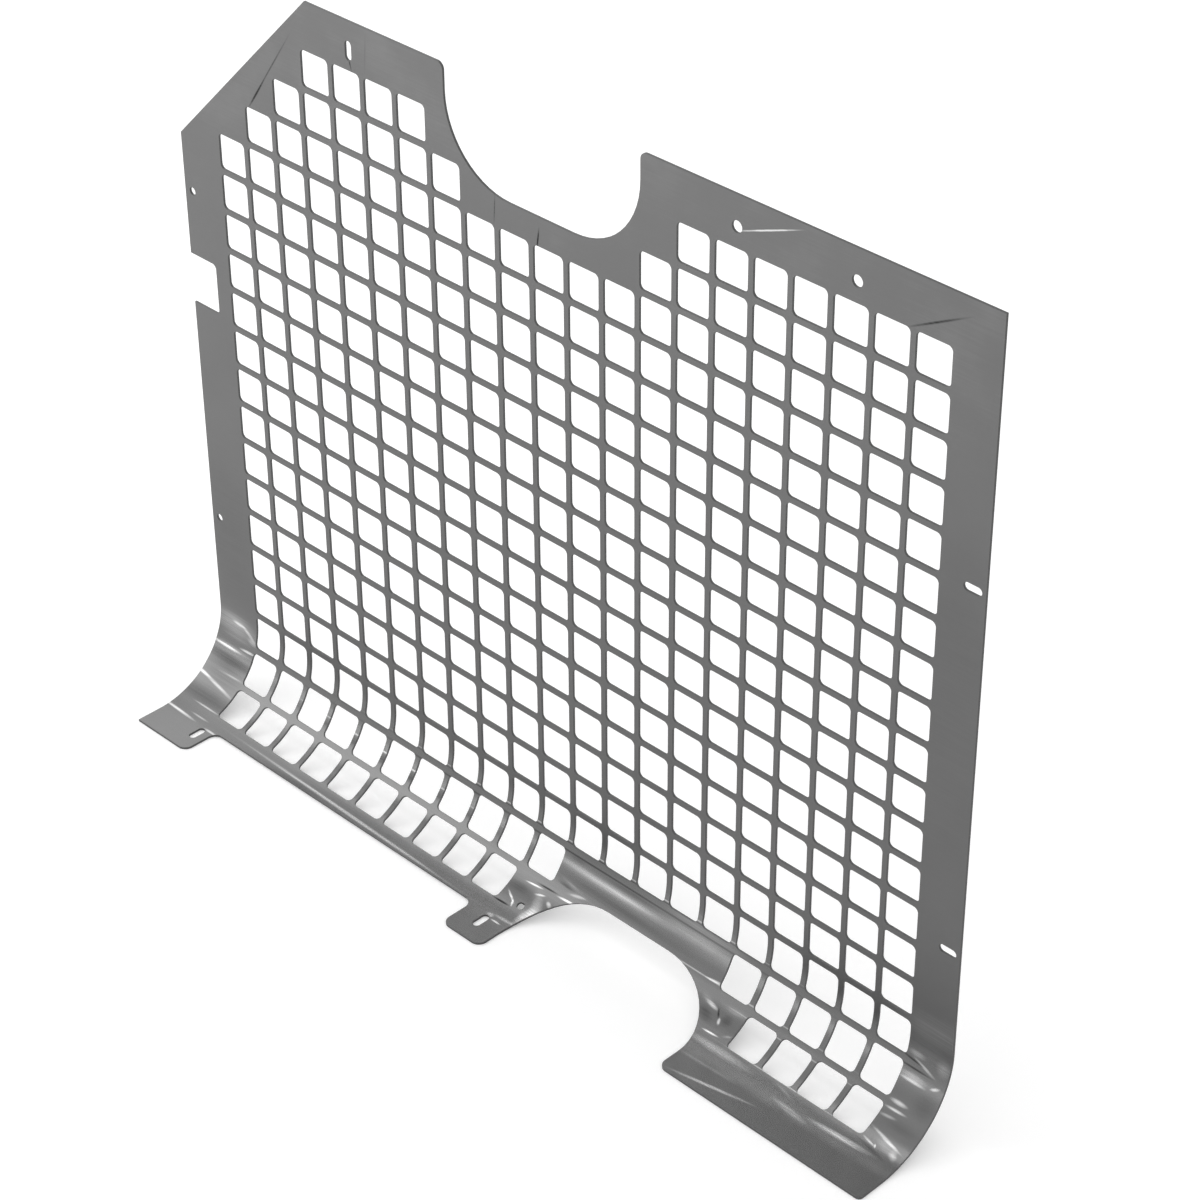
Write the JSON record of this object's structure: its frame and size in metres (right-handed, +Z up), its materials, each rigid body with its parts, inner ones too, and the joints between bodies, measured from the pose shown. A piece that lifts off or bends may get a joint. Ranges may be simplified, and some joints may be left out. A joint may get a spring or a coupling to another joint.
{
  "type": "front grille guard",
  "caption": "Flat metal screen with a square-hole pattern, rolled forward along its lower edge into a short foot, notched top and bottom, with bolt holes round its border.",
  "frame": {"origin": "middle of the guard's width and depth, on the underside of the foot", "axes": "+X across the guard, to the right as seen from the side that the roll turns to; -Y towards the side that the roll turns to; +Z up the flat screen"},
  "size_m": [0.818, 0.099, 0.683],
  "materials": {
    "sheet_metal": "plain mill-finish steel sheet, satin, mid grey"
  },
  "bodies": {
    "root": {"guard_sheet": "sheet_metal"}
  },
  "joints": []
}
